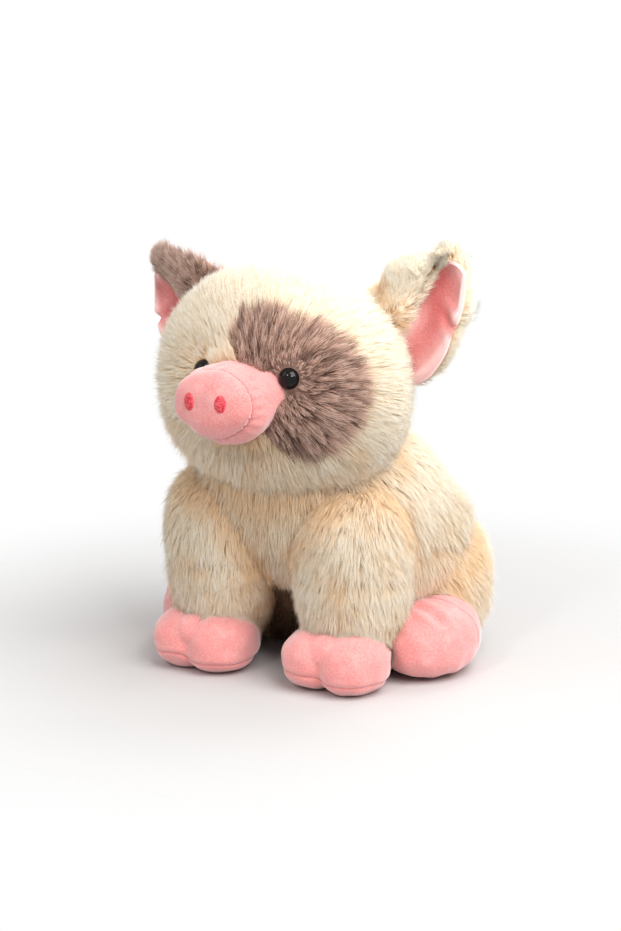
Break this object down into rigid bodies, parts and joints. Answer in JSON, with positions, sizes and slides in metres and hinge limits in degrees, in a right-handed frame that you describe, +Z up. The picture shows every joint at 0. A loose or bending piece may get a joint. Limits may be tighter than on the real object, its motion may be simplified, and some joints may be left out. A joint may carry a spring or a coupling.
{
  "type": "plush pig",
  "caption": "Sitting plush pig: stuffed fur head, torso and legs, velboa snout, cloven hooves and ear linings, safety eyes, an eye patch, and ears and a curly tail on flexing sewn roots.",
  "frame": {"origin": "middle of the flat of the seat, on the surface that the toy sits on", "axes": "+Z up, the pig faces -Y, +X is the pig's own left side"},
  "size_m": [0.2514, 0.2709, 0.2825],
  "materials": {
    "cream_fur": "long soft pile",
    "brown_fur": "long soft pile",
    "pink_velboa": "short velvety pile",
    "nostril_thread": "satin stitches",
    "eye_plastic": "polished",
    "washer_plastic": "moulded",
    "stuffing_fibre": "loose fibre",
    "pouch_cotton": "plain weave"
  },
  "bodies": {
    "body": {"head_skin": "cream_fur", "eye_patch": "brown_fur", "head_stuffing": "stuffing_fibre", "left_eye": "eye_plastic", "left_eye_washer": "washer_plastic", "right_eye": "eye_plastic", "right_eye_washer": "washer_plastic", "snout_band": "pink_velboa", "snout_disc": "pink_velboa", "snout_stuffing": "stuffing_fibre", "left_nostril": "nostril_thread", "right_nostril": "nostril_thread", "torso_skin": "cream_fur", "torso_stuffing": "stuffing_fibre", "pellet_pouch": "pouch_cotton", "left_front_leg": "cream_fur", "left_front_leg_stuffing": "stuffing_fibre", "left_front_hoof": "pink_velboa", "left_front_sole": "pink_velboa", "left_thigh": "cream_fur", "left_hind_leg_stuffing": "stuffing_fibre", "left_hind_foot": "pink_velboa", "left_hind_sole": "pink_velboa", "right_front_leg": "cream_fur", "right_front_leg_stuffing": "stuffing_fibre", "right_front_hoof": "pink_velboa", "right_front_sole": "pink_velboa", "right_thigh": "cream_fur", "right_hind_leg_stuffing": "stuffing_fibre", "right_hind_foot": "pink_velboa", "right_hind_sole": "pink_velboa"},
    "left_ear": {"left_ear_back": "cream_fur", "left_ear_lining": "pink_velboa"},
    "right_ear": {"right_ear_back": "brown_fur", "right_ear_lining": "pink_velboa"},
    "tail": {"tail": "pink_velboa"}
  },
  "joints": [
    {"name": "left_ear_flap", "type": "hinge", "parent": "body", "child": "left_ear", "pos_m": [0.0765, -0.06465, 0.219], "axis": [-0.406, 0.0323, 0.9133], "range_deg": [-30, 40], "stiffness_Nm_per_rad": 0.02},
    {"name": "right_ear_flap", "type": "hinge", "parent": "body", "child": "right_ear", "pos_m": [-0.07441, -0.05938, 0.219], "axis": [-0.4073, -0.0039, -0.9133], "range_deg": [-30, 40], "stiffness_Nm_per_rad": 0.02},
    {"name": "tail_swing", "type": "hinge", "parent": "body", "child": "tail", "pos_m": [0, 0.06245, 0.062], "axis": [1, 0, 0], "range_deg": [-20, 30], "stiffness_Nm_per_rad": 0.005}
  ]
}
